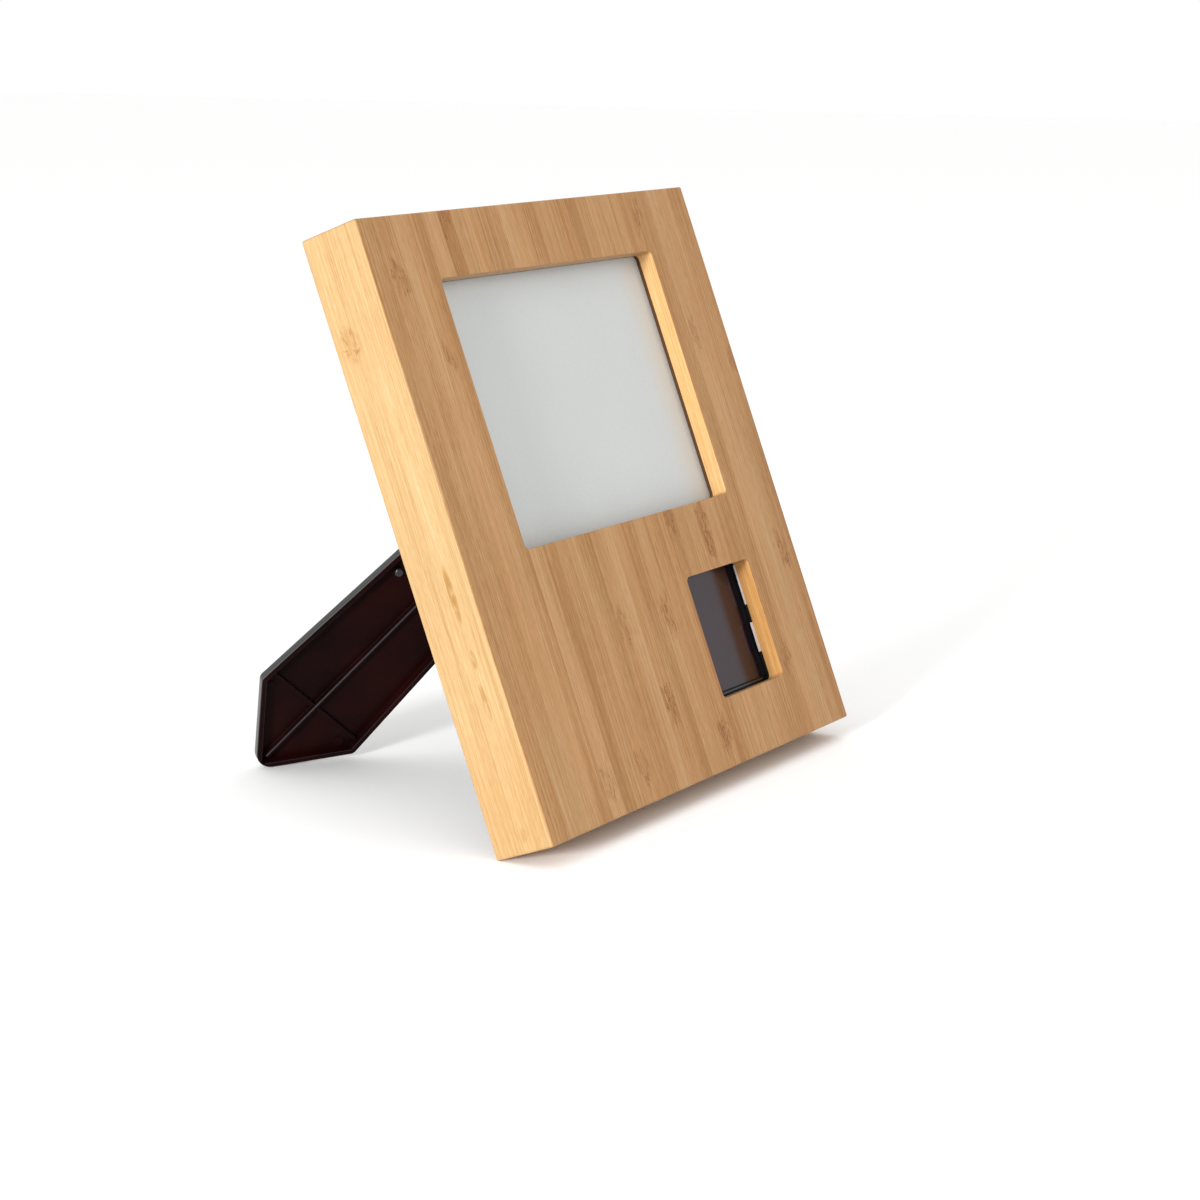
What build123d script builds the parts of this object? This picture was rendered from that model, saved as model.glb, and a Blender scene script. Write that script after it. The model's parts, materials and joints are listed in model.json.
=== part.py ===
from build123d import *
import os

# Digital photo frame: a milled bamboo block with a picture window and a status window,
# electronics behind them, a back cover, and a strut on a diagonal hinge that stands the
# frame up in landscape or in portrait.
#
# Every piece is first described in the block's own axes: X across the frame, Y from the
# front face to the back, Z up the frame, with Y = 0 on the front face and Z = 0 on the
# bottom face. The last section leans the whole assembly back on its strut and puts the
# origin at the middle of its footprint, on the surface it stands on.

# ---- Driving dimensions, millimetres and degrees ----
WIDTH = 200.0
HEIGHT = 206.6
DEPTH = 23.0
PLATE = 5.8
LEAN = 21.1
EDGE_ROUND = 0.8
WINDOW_EASE = 0.3
WINDOW_CORNER = 2.0

# Windows: width, height, middle across, bottom edge.
PICTURE_WIDTH, PICTURE_HEIGHT, PICTURE_BOTTOM = 130.4, 92.0, 92.1
STATUS_WIDTH, STATUS_HEIGHT, STATUS_MIDDLE, STATUS_BOTTOM = 42.9, 44.2, 43.3, 23.3

# Back of the block: an electronics chamber, and a rabbet for the cover.
CHAMBER_Y = 13.0
CHAMBER_HALF = 87.0
CHAMBER_BOTTOM, CHAMBER_TOP = 13.0, 193.6
COVER = 2.5
COVER_Y = DEPTH - COVER
RABBET_HALF = 94.0
RABBET_BOTTOM, RABBET_TOP = 6.5, 200.1
COVER_GAP = 0.3

# Picture screen: gasket, panel and tray, one behind the other.
SCREEN_HALF = 71.5
SCREEN_BOTTOM, SCREEN_TOP = 85.6, 190.6
POCKET_SLACK = 0.5
GASKET = 1.5
GASKET_SET_BACK = 0.2
PANEL = 1.2
PANEL_Y = PLATE + GASKET
TRAY_Y = PANEL_Y + PANEL
CLIP_X = 78.0
CLIP_INNER, CLIP_OUTER = 66.0, 82.0
CLIP_HALF_WIDE, CLIP_THICK = 4.0, 0.6

# Status screen: metal frame, bezel, glass, diffuser and board, one behind the other.
LIP = 0.35
BEZEL = 1.85
GLASS = 1.2
BEZEL_Y = PLATE + LIP
GLASS_Y = BEZEL_Y + BEZEL
DIFFUSER_Y = GLASS_Y + GLASS
STATUS_CASE_HALF = 25.0
STATUS_CASE_BOTTOM, STATUS_CASE_TOP = 19.4, 71.4
STATUS_OPENING_SLACK = 0.2
LEDGE, LEDGE_TOP, LEDGE_THICK = 1.9, 0.4, 0.4
BEAD_INNER, BEAD_OUTER, BEAD_HIGH = 0.6, 1.2, 0.35
LIP_GAPS_Z = ((STATUS_BOTTOM - 1.0, 33.8), (44.8, 51.6))
TABS = ((33.8, 44.8, 1.4), (51.6, 66.4, 0.8))
LIP_BOTTOM_GAP_HALF = 12.0
STATUS_BOARD = (11.5, 74.0, 20.5, 70.5)
METAL = 0.5
BOARD = 1.2

# Battery and its pocket in the block: left, right, bottom, top.
BATTERY = (-84.0, -14.0, 17.0, 63.0)
BATTERY_POCKET = (-85.0, 5.0, 15.0, 78.0)
BATTERY_POCKET_Y = 8.0
BATTERY_TAPE = 0.6
BATTERY_THICK = 8.0
WIRE_XS = (-28.2, -25.8)
WIRE_RADIUS = 0.6

# Main board, button board and the sunken socket bay.
MAIN_Y, MAIN_THICK = 14.5, 1.6
MAIN_LEFT, MAIN_RIGHT, MAIN_BOTTOM, MAIN_TOP = -47.8, -5.0, 122.0, 188.0
BAY_LEFT, BAY_RIGHT, BAY_BOTTOM, BAY_TOP = -85.0, -50.0, 130.0, 182.0
BAY_FLOOR_Y = 15.2
BAY_WALL = 1.5
KEY_XS = (45.0, 55.0, 65.0, 75.0)
KEY_NAMES = ("menu", "previous", "next", "play")
KEY_Z = 177.0
KEY_RADIUS = 3.7
KEY_HOLE = 4.0
KEY_PROUD = 1.2
KEY_FLANGE = 1.1
KEY_DISH_RADIUS = 15.0
KEY_DISH_DEPTH = 0.4
BUTTON_BOARD = (18.0, 84.0, 169.0, 185.0)
SWITCH_Y = MAIN_Y + MAIN_THICK
SWITCH_HALF = 3.0
SWITCH_HIGH = 3.0
PLUNGER_RADIUS = 1.5
PLUNGER_FLOOR = 1.6
KEY_TRAVEL = 0.7
CABLE_Y0, CABLE_Y1 = 16.15, 16.35
POWER_X = 31.0
POWER_TRAVEL = 3.0

# Strut and its diagonal hinge. The hinge axis runs at 45 degrees across the back.
HINGE_SHIFT = 22.2
PIN_STANDOFF = 5.0
PIN_RADIUS = 1.5
PIN_CLEARANCE = 0.05
BARREL_RADIUS = 3.0
BARREL_HALF = 13.0
STRUT_OPEN = 49.4
STRUT_LENGTH = 162.72
STRUT_SHOULDER = 136.0
STRUT_WIDE, STRUT_NARROW = 50.0, 35.0
STRUT_START = 5.5
STRUT_RIM = -4.4
STRUT_THICK = 5.0
STRUT_WALL = 2.0
STRUT_SKIN = 1.6
STRUT_TIP_ROUND = 6.0
STRUT_SHOULDER_ROUND = 2.5
STRUT_RIM_ROUND = 0.3
RIB_WIDE, RIB_SET_BACK = 1.3, 1.2
CROSS_RIB_V = STRUT_SHOULDER - 4.0
EJECTOR_UV = ((-18.5, 136.6), (18.5, 136.6), (-13.0, 22.0), (13.0, 22.0))
EJECTOR_RADIUS = 2.0
STUD_UV = ((-14.6, 76.0), (14.6, 76.0))
STUD_RADIUS, STUD_HIGH = 1.6, 1.8
HEEL = 3.7
BRACKET_THICK = 1.5
BRACKET_HALF, BRACKET_REACH = 25.0, 17.0
EAR_START, EAR_END, EAR_RADIUS = 13.3, 17.3, 3.4

HOLE_SLACK = 0.05


def block(x0, x1, y0, y1, z0, z1):
    """A box between two corners."""
    return Pos((x0 + x1) / 2, (y0 + y1) / 2, (z0 + z1) / 2) * Box(x1 - x0, y1 - y0, z1 - z0)


def slab(x0, x1, y0, y1, z0, z1, corner):
    """A box whose four edges along Y are rounded."""
    solid = block(x0, x1, y0, y1, z0, z1)
    return fillet(solid.edges().filter_by(Axis.Y), corner)


def peg(radius, x, z, y0, y1):
    """A cylinder along Y."""
    return Pos(x, (y0 + y1) / 2, z) * Rot(-90, 0, 0) * Cylinder(radius, y1 - y0)


def cross_recess(size, depth):
    """The cross that a screwdriver turns, cut down from z = 0."""
    arm = Box(size, size * 0.22, depth * 2)
    return arm + Rot(0, 0, 90) * arm


def countersunk_screw(head_radius, shank_radius, length):
    """A countersunk screw along Z, its flat head at z = 0 and its shank below."""
    head_height = head_radius - shank_radius + 0.3
    rim = Pos(0, 0, -0.15) * Cylinder(head_radius, 0.3)
    cone = Pos(0, 0, -0.3 - (head_height - 0.3) / 2) * Cone(shank_radius, head_radius, head_height - 0.3)
    shank = Pos(0, 0, -(head_height + length) / 2) * Cylinder(shank_radius, length - head_height)
    return rim + cone + shank - cross_recess(head_radius * 1.2, head_height * 0.45)


def countersink(head_radius, shank_radius, length):
    """The hole that a countersunk screw of the same sizes sits in."""
    head, shank = head_radius + HOLE_SLACK, shank_radius + HOLE_SLACK
    head_height = head_radius - shank_radius + 0.3
    mouth = Pos(0, 0, 0.35) * Cylinder(head, 1.3)
    cone = Pos(0, 0, -0.3 - (head_height - 0.3) / 2) * Cone(shank, head, head_height - 0.3)
    bore = Pos(0, 0, -length / 2 - 0.25) * Cylinder(shank, length + 0.5)
    return mouth + cone + bore


def pan_screw(head_radius, head_height, shank_radius, length):
    """A pan-head screw along Z: the head stands on z = 0 and the shank goes below."""
    head = Pos(0, 0, head_height / 2) * Cylinder(head_radius, head_height)
    head = fillet(head.edges().group_by(Axis.Z)[-1], head_height * 0.5)
    shank = Pos(0, 0, -length / 2) * Cylinder(shank_radius, length)
    return head + shank - Pos(0, 0, head_height) * cross_recess(head_radius * 1.2, head_height * 0.5)


def facing_back(x, y, z):
    """Where a screw drawn along Z sits when its head faces the back."""
    return Pos(x, y, z) * Rot(-90, 0, 0)


def facing_front(x, y, z):
    """Where a screw drawn along Z sits when its head faces the front."""
    return Pos(x, y, z) * Rot(90, 0, 0)


def cut_all(solid, tools):
    for tool in tools:
        solid = solid - tool
    return solid


# ---- Fastener places, in the block's axes ----
COVER_SCREW_XZ = [
    (-90.5, 12.0), (90.5, 12.0), (-90.5, 194.6), (90.5, 194.6),
    (-90.5, HEIGHT / 2), (90.5, HEIGHT / 2), (0.0, 9.75), (0.0, 196.85),
]
COVER_SCREW = (2.6, 1.2, 10.0)
CLIP_XZ = [(-1, 96.0), (-1, 120.0), (1, 104.0), (1, 172.0)]
CLIP_SCREW = (1.8, 0.8, 0.9, 5.0)
STATUS_SCREW_XZ = [(14.6, 24.0), (14.6, 67.0), (71.0, 24.0), (71.0, 67.0)]
STATUS_SCREW = (1.7, 0.8, 0.9, 5.0)
MAIN_SCREW_XZ = [(-44.5, 125.5), (-9.0, 125.5), (-44.5, 184.5), (-9.0, 184.5)]
BUTTON_SCREW_XZ = [(21.5, 172.0), (80.5, 182.0)]
BOARD_SCREW = (1.7, 0.9, 0.9, 5.0)
BOSS_RADIUS = 2.5
BRACKET_SCREW_UV = [(-10.0, -12.5), (10.0, -12.5), (-21.0, -5.0), (21.0, -5.0)]
BRACKET_SCREW = (2.3, 1.1, 6.5)


# ---- Bamboo block ----
def windows():
    """The two window openings, as solids to cut out of the front plate."""
    half = PICTURE_WIDTH / 2
    top = PICTURE_BOTTOM + PICTURE_HEIGHT
    picture = slab(-half, half, -1, PLATE + 1, PICTURE_BOTTOM, top, WINDOW_CORNER)
    left = STATUS_MIDDLE - STATUS_WIDTH / 2
    right = STATUS_MIDDLE + STATUS_WIDTH / 2
    top = STATUS_BOTTOM + STATUS_HEIGHT
    status = slab(left, right, -1, PLATE + 1, STATUS_BOTTOM, top, WINDOW_CORNER)
    return [picture, status]


def bamboo_frame():
    body = block(-WIDTH / 2, WIDTH / 2, 0, DEPTH, 0, HEIGHT)
    body = fillet(body.edges(), EDGE_ROUND)
    chamber = slab(-CHAMBER_HALF, CHAMBER_HALF, CHAMBER_Y, DEPTH + 1, CHAMBER_BOTTOM, CHAMBER_TOP, 4)
    rabbet = slab(-RABBET_HALF, RABBET_HALF, COVER_Y, DEPTH + 1, RABBET_BOTTOM, RABBET_TOP, 3)
    screen_half = SCREEN_HALF + POCKET_SLACK
    screen = slab(
        -screen_half, screen_half, PLATE, CHAMBER_Y + 1,
        SCREEN_BOTTOM - POCKET_SLACK, SCREEN_TOP + POCKET_SLACK, 1,
    )
    status_half = STATUS_CASE_HALF + POCKET_SLACK
    status = slab(
        STATUS_MIDDLE - status_half, STATUS_MIDDLE + status_half, PLATE, CHAMBER_Y + 1,
        STATUS_CASE_BOTTOM - POCKET_SLACK, STATUS_CASE_TOP + POCKET_SLACK, 1,
    )
    left, right, low, high = BATTERY_POCKET
    battery = slab(left, right, BATTERY_POCKET_Y, CHAMBER_Y + 1, low, high, 3)
    body = cut_all(body, windows())
    rims = [e for e in body.faces().sort_by(Axis.Y)[0].inner_wires().edges()]
    body = fillet(rims, WINDOW_EASE)
    body = cut_all(body, [chamber, rabbet, screen, status, battery])
    for x, z in COVER_SCREW_XZ:
        body = body - peg(COVER_SCREW[1] + HOLE_SLACK, x, z, DEPTH - COVER_SCREW[2] - 0.5, DEPTH)
    for side, z in CLIP_XZ:
        body = body - peg(CLIP_SCREW[2] + HOLE_SLACK, side * CLIP_X, z, CHAMBER_Y - 5, CHAMBER_Y + 1)
    for x, z in STATUS_SCREW_XZ:
        body = body - peg(STATUS_SCREW[2] + HOLE_SLACK, x, z, CHAMBER_Y - 5, CHAMBER_Y + 1)
    return body


# ---- Picture screen ----
def screen_gasket():
    outer = slab(-SCREEN_HALF, SCREEN_HALF, PLATE, PANEL_Y, SCREEN_BOTTOM, SCREEN_TOP, 1)
    half = PICTURE_WIDTH / 2 + GASKET_SET_BACK
    low = PICTURE_BOTTOM - GASKET_SET_BACK
    top = PICTURE_BOTTOM + PICTURE_HEIGHT + GASKET_SET_BACK
    return outer - slab(-half, half, PLATE - 1, PANEL_Y + 1, low, top, 2)


def picture_screen():
    return slab(-SCREEN_HALF, SCREEN_HALF, PANEL_Y, TRAY_Y, SCREEN_BOTTOM, SCREEN_TOP, 1)


def screen_tray():
    """Folded metal tray that holds the light guide behind the panel."""
    shell = slab(-SCREEN_HALF, SCREEN_HALF, TRAY_Y, CHAMBER_Y, SCREEN_BOTTOM, SCREEN_TOP, 1)
    half = SCREEN_HALF - METAL
    low, high = SCREEN_BOTTOM + METAL, SCREEN_TOP - METAL
    return shell - slab(-half, half, TRAY_Y - 1, CHAMBER_Y - METAL, low, high, 0.5)


def light_guide():
    """Clear plate and white films that fill the tray."""
    half = SCREEN_HALF - METAL - 0.2
    low, high = SCREEN_BOTTOM + METAL + 0.2, SCREEN_TOP - METAL - 0.2
    return slab(-half, half, TRAY_Y + 0.1, CHAMBER_Y - METAL - 0.1, low, high, 0.5)


def screen_clips():
    """Steel strips that reach from the wood over the back of the tray."""
    clips = []
    for side, z in CLIP_XZ:
        near, far = sorted((side * CLIP_INNER, side * CLIP_OUTER))
        low, high = z - CLIP_HALF_WIDE, z + CLIP_HALF_WIDE
        strip = slab(near, far, CHAMBER_Y + 0.02, CHAMBER_Y + CLIP_THICK, low, high, 1.5)
        hole = peg(CLIP_SCREW[2] + 0.1, side * CLIP_X, z, CHAMBER_Y - 1, CHAMBER_Y + 2)
        clips.append(strip - hole)
    return clips


def clip_screws():
    screw = pan_screw(*CLIP_SCREW)
    y = CHAMBER_Y + CLIP_THICK + 0.02
    return [facing_back(side * CLIP_X, y, z) * screw for side, z in CLIP_XZ]


# ---- Status screen ----
def status_case(y0, y1, inset=0.0):
    """A box of the status screen's outline, drawn in by inset."""
    half = STATUS_CASE_HALF - inset
    low, high = STATUS_CASE_BOTTOM + inset, STATUS_CASE_TOP - inset
    return block(STATUS_MIDDLE - half, STATUS_MIDDLE + half, y0, y1, low, high)


def status_opening(y0, y1, grow, corner):
    """The status window's outline, grown all round."""
    half = STATUS_WIDTH / 2 + grow
    low, high = STATUS_BOTTOM - grow, STATUS_BOTTOM + STATUS_HEIGHT + grow
    return slab(STATUS_MIDDLE - half, STATUS_MIDDLE + half, y0, y1, low, high, corner)


def status_view(y0, y1, grow, corner):
    """The outline of the glass that shows inside the bezel, grown all round."""
    half = STATUS_WIDTH / 2 - LEDGE + grow
    low = STATUS_BOTTOM + LEDGE - grow
    high = STATUS_BOTTOM + STATUS_HEIGHT + LEDGE_TOP + grow
    return slab(STATUS_MIDDLE - half, STATUS_MIDDLE + half, y0, y1, low, high, corner)


def status_metal_frame():
    """Metal skirt round the bezel. Its thin lip in front has two tabs, and is cut back between them."""
    skirt = status_case(BEZEL_Y, DIFFUSER_Y + 0.6) - status_case(BEZEL_Y - 1, DIFFUSER_Y + 1, METAL)
    lip = status_case(PLATE + 0.02, BEZEL_Y)
    lip = lip - status_opening(PLATE - 1, BEZEL_Y + 1, STATUS_OPENING_SLACK, 2)
    right = STATUS_MIDDLE + STATUS_WIDTH / 2
    y0, y1 = PLATE - 1, BEZEL_Y + 0.01
    gaps = [block(right - 1, right + 1.6, y0, y1, low, high) for low, high in LIP_GAPS_Z]
    left, right = STATUS_MIDDLE - LIP_BOTTOM_GAP_HALF, STATUS_MIDDLE + LIP_BOTTOM_GAP_HALF
    gaps.append(block(left, right, y0, y1, STATUS_BOTTOM - 1.8, STATUS_BOTTOM))
    lip = cut_all(lip, gaps)
    right = STATUS_MIDDLE + STATUS_WIDTH / 2
    for low, high, reach in TABS:
        lip = lip + block(right - reach, right + 1, PLATE + 0.02, BEZEL_Y, low, high)
    return skirt + lip


def status_bezel():
    """Black plastic frame with a thin ledge over the glass and a raised bead along it."""
    ledge_y = GLASS_Y - LEDGE_THICK
    outer = status_case(BEZEL_Y + 0.02, GLASS_Y, METAL + 0.05)
    step = status_opening(BEZEL_Y - 1, ledge_y, STATUS_OPENING_SLACK, 1.5)
    view = status_view(BEZEL_Y - 1, GLASS_Y + 1, 0, 1.5)
    bead = status_view(ledge_y - BEAD_HIGH, ledge_y + 0.1, BEAD_OUTER, 2.5)
    bead = bead - status_view(BEZEL_Y - 1, GLASS_Y + 1, BEAD_INNER, 2)
    return outer - step - view + bead


def status_glass():
    return status_case(GLASS_Y, DIFFUSER_Y, METAL + 0.05)


def status_diffuser():
    return status_case(DIFFUSER_Y, CHAMBER_Y, METAL + 0.8)


def status_board():
    left, right, low, high = STATUS_BOARD
    board = block(left, right, CHAMBER_Y, CHAMBER_Y + BOARD, low, high)
    for x, z in STATUS_SCREW_XZ:
        board = board - peg(STATUS_SCREW[2] + 0.1, x, z, CHAMBER_Y - 1, CHAMBER_Y + 2)
    return board


def status_screws():
    screw = pan_screw(*STATUS_SCREW)
    return [facing_back(x, CHAMBER_Y + BOARD, z) * screw for x, z in STATUS_SCREW_XZ]


def status_driver():
    """Driver chip under its black resin blob, and the header for the flat cable."""
    blob = peg(6, 42, 48, CHAMBER_Y + BOARD, CHAMBER_Y + BOARD + 1.4)
    blob = fillet(blob.edges().group_by(Axis.Y)[-1], 1.2)
    header = block(18, 26, CHAMBER_Y + BOARD, CABLE_Y0, 59, 63)
    return [blob, header]


def status_cable():
    """Flat cable from the status board to the main board."""
    rise = block(19, 25, CABLE_Y0, CABLE_Y1, 59.5, 101)
    across = block(-19.5, 25, CABLE_Y0, CABLE_Y1, 95, 101)
    end = block(-19.5, -13.5, CABLE_Y0, CABLE_Y1, 95, 128)
    return rise + across + end


# ---- Main board ----
def main_board():
    board = block(MAIN_LEFT, MAIN_RIGHT, MAIN_Y, MAIN_Y + MAIN_THICK, MAIN_BOTTOM, MAIN_TOP)
    for x, z in MAIN_SCREW_XZ:
        board = board - peg(1.0, x, z, MAIN_Y - 1, MAIN_Y + MAIN_THICK + 1)
    return board


def main_chips():
    """Processor, memory, flash store, coil, crystal and capacitors on the back of the main board."""
    y = MAIN_Y + MAIN_THICK
    sizes = [(-19.5, -6.5, 1.3, 144, 157), (-18, -8, 1.1, 131, 139), (-39, -21.5, 1.1, 122.6, 131.6)]
    parts = [block(x0, x1, y, y + high, z0, z1) for x0, x1, high, z0, z1 in sizes]
    coil = slab(-36, -29, y, y + 2.8, 178, 185, 1.5)
    crystal = slab(-33, -22, y, y + 1.8, 164.5, 168.5, 1.9)
    capacitors = [peg(2.4, x, 170.5, y, y + 3.6) for x in (-16.5, -10.5)]
    return parts + [coil, crystal] + capacitors


def card_socket():
    """Metal shell of the memory-card socket, open towards the bay."""
    y = MAIN_Y + MAIN_THICK
    shell = block(-48.3, -22, y, y + 2.9, 133.5, 161.5)
    return shell - block(-49, -24, y + 0.35, y + 2.55, 135, 160)


def usb_socket():
    """Metal shell of the small power and data socket, with its contact tongue."""
    y = MAIN_Y + MAIN_THICK
    shell = block(-48.3, -40, y, y + 3.9, 166.3, 174.7)
    mouth = block(-49, -41, y + 0.4, y + 3.5, 166.7, 174.3)
    tongue = block(-47, -40.5, y + 1.6, y + 2.3, 168, 173)
    return shell - mouth + tongue


def screen_connector():
    return block(-33, -19, MAIN_Y - 1.0, MAIN_Y, 148, 152)


def screen_cable():
    """Flat cable from the back of the screen tray up to its connector."""
    left, right = -31, -21
    y0, y1 = CHAMBER_Y + 0.02, CHAMBER_Y + 0.2
    rise = 0.8
    flat = block(left, right, y0, y1, 118, 144)
    side = Polyline((y0, 144), (y1, 144), (y1 + rise, 148), (y0 + rise, 148), (y0, 144))
    slope = Pos(left, 0, 0) * extrude(Plane.YZ * make_face(side), right - left)
    return flat + slope


def board_screws():
    screw = pan_screw(*BOARD_SCREW)
    places = MAIN_SCREW_XZ + BUTTON_SCREW_XZ
    return [facing_front(x, MAIN_Y, z) * screw for x, z in places]


# ---- Battery ----
def battery_pack():
    left, right, low, high = BATTERY
    y = BATTERY_POCKET_Y + BATTERY_TAPE
    return slab(left, right, y, y + BATTERY_THICK, low, high, 2)


def battery_tape():
    left, right, low, high = BATTERY
    y = BATTERY_POCKET_Y
    return block(left + 4, right - 4, y, y + BATTERY_TAPE, low + 5, high - 5)


def battery_wires():
    """Two insulated wires from the pack to the board."""
    wires = []
    top = BATTERY[3]
    y0, y1 = BATTERY_POCKET_Y + BATTERY_TAPE + BATTERY_THICK / 2, 14.7
    for x in WIRE_XS:
        points = [(x, y0, top), (x, y0, top + 4), (x, y1, top + 11), (x, y1, 115.9)]
        path = FilletPolyline(*points, radius=3)
        profile = Plane(origin=path @ 0, z_dir=path % 0) * Circle(WIRE_RADIUS)
        wires.append(sweep(profile, path=path))
    return wires


def battery_connector():
    return block(-30.5, -23.5, 13.4, 17.2, 115.9, 121.95)


# ---- Buttons and power switch ----
def button_board():
    left, right, low, high = BUTTON_BOARD
    board = block(left, right, MAIN_Y, MAIN_Y + MAIN_THICK, low, high)
    for x, z in BUTTON_SCREW_XZ:
        board = board - peg(1.0, x, z, MAIN_Y - 1, MAIN_Y + MAIN_THICK + 1)
    return board


def tact_switches():
    """Switch bodies with a well for the plunger."""
    bodies = []
    for x in KEY_XS:
        top = SWITCH_Y + SWITCH_HIGH
        left, right = x - SWITCH_HALF, x + SWITCH_HALF
        body = slab(left, right, SWITCH_Y, top, KEY_Z - SWITCH_HALF, KEY_Z + SWITCH_HALF, 0.5)
        bodies.append(body - peg(PLUNGER_RADIUS + 0.2, x, KEY_Z, SWITCH_Y + PLUNGER_FLOOR, top + 1))
    return bodies


def plunger(x):
    foot = SWITCH_Y + PLUNGER_FLOOR + KEY_TRAVEL
    return peg(PLUNGER_RADIUS, x, KEY_Z, foot, SWITCH_Y + SWITCH_HIGH + KEY_TRAVEL)


def key_cap(x):
    """Round key with a flange that keeps it behind the cover and a dished top."""
    flange_y = SWITCH_Y + SWITCH_HIGH + KEY_TRAVEL
    top = DEPTH + KEY_PROUD
    flange = peg(KEY_RADIUS + KEY_FLANGE, x, KEY_Z, flange_y, COVER_Y - 0.1)
    stem = peg(KEY_RADIUS, x, KEY_Z, flange_y, top)
    stem = fillet(stem.edges().group_by(Axis.Y)[-1], 0.6)
    dish = Pos(x, top + KEY_DISH_RADIUS - KEY_DISH_DEPTH, KEY_Z) * Sphere(KEY_DISH_RADIUS)
    return flange + stem - dish


def button_cable():
    return block(-9, 26, CABLE_Y0, CABLE_Y1, 175, 181)


def power_housing():
    body = block(POWER_X - 5, POWER_X + 5, SWITCH_Y, SWITCH_Y + 3.4, KEY_Z - 2.4, KEY_Z + 2.4)
    slot = block(POWER_X - 3.2, POWER_X + 3.2, SWITCH_Y + 1.4, SWITCH_Y + 4, KEY_Z - 1.2, KEY_Z + 1.2)
    return body - slot


def power_lever():
    left = POWER_X - POWER_TRAVEL / 2
    return block(left - 1, left + 1, SWITCH_Y + 1.8, SWITCH_Y + 3.8, KEY_Z - 1, KEY_Z + 1)


def power_knob():
    """Sliding knob with three grip grooves."""
    left = POWER_X - POWER_TRAVEL / 2
    y = SWITCH_Y + 3.8
    flange = slab(left - 4.2, left + 4.2, y, COVER_Y - 0.1, KEY_Z - 3, KEY_Z + 3, 0.6)
    stem = slab(left - 2.4, left + 2.4, y, DEPTH + 0.9, KEY_Z - 1.9, KEY_Z + 1.9, 0.6)
    groove = block(left - 0.3, left + 0.3, DEPTH + 0.5, DEPTH + 2, KEY_Z - 3, KEY_Z + 3)
    grooves = [Pos(step, 0, 0) * groove for step in (-1.2, 0, 1.2)]
    return cut_all(flange + stem, grooves)


# ---- Back cover ----
HANGERS = [(0.0, 182.5, 90.0), (72.5, HEIGHT / 2, 0.0)]
HANGER_LONG, HANGER_WIDE, HANGER_THICK = 21.0, 12.0, 1.0
HANGER_SCREW = (1.3, 0.4, 0.7, 2.8)
KEYHOLE_RADIUS, KEYHOLE_SLOT, KEYHOLE_START, KEYHOLE_END = 4.0, 2.1, -3.2, 4.5


def hanger_outline(x, z, turn, y0, y1, grow):
    """The outline of a hanger plate lying on the back, long side along its slot."""
    half_long, half_wide = HANGER_LONG / 2 + grow, HANGER_WIDE / 2 + grow
    plate = slab(-half_long, half_long, y0, y1, -half_wide, half_wide, 2)
    return Pos(x, 0, z) * Rot(0, -turn, 0) * plate


def keyhole(x, z, turn, y0, y1, grow):
    """A round hole for a screw head that runs into a narrow slot."""
    half = KEYHOLE_SLOT + grow
    hole = peg(KEYHOLE_RADIUS + grow, KEYHOLE_START, 0, y0, y1)
    slot = block(KEYHOLE_START, KEYHOLE_END, y0, y1, -half, half)
    end = peg(half, KEYHOLE_END, 0, y0, y1)
    return Pos(x, 0, z) * Rot(0, -turn, 0) * (hole + slot + end)


def hanger_screw_places(x, z, turn):
    """Where the two small screws of a hanger plate sit, on the cover's outer face."""
    middle = Pos(x, DEPTH, z) * Rot(0, -turn, 0)
    return [middle * Pos(end * (HANGER_LONG / 2 - 1.7), 0, -3.6) for end in (-1, 1)]


def hanger_plates():
    y0, y1 = DEPTH - HANGER_THICK, DEPTH
    plates = []
    for hanger in HANGERS:
        plate = hanger_outline(*hanger, y0, y1, 0) - keyhole(*hanger, y0 - 1, y1 + 1, 0)
        for place in hanger_screw_places(*hanger):
            plate = plate - place * peg(HANGER_SCREW[2] + HOLE_SLACK, 0, 0, -HANGER_THICK - 1, 1)
        plates.append(plate)
    return plates


def hanger_screws():
    screw = pan_screw(*HANGER_SCREW)
    places = [place for hanger in HANGERS for place in hanger_screw_places(*hanger)]
    return [place * Rot(-90, 0, 0) * screw for place in places]


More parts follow.
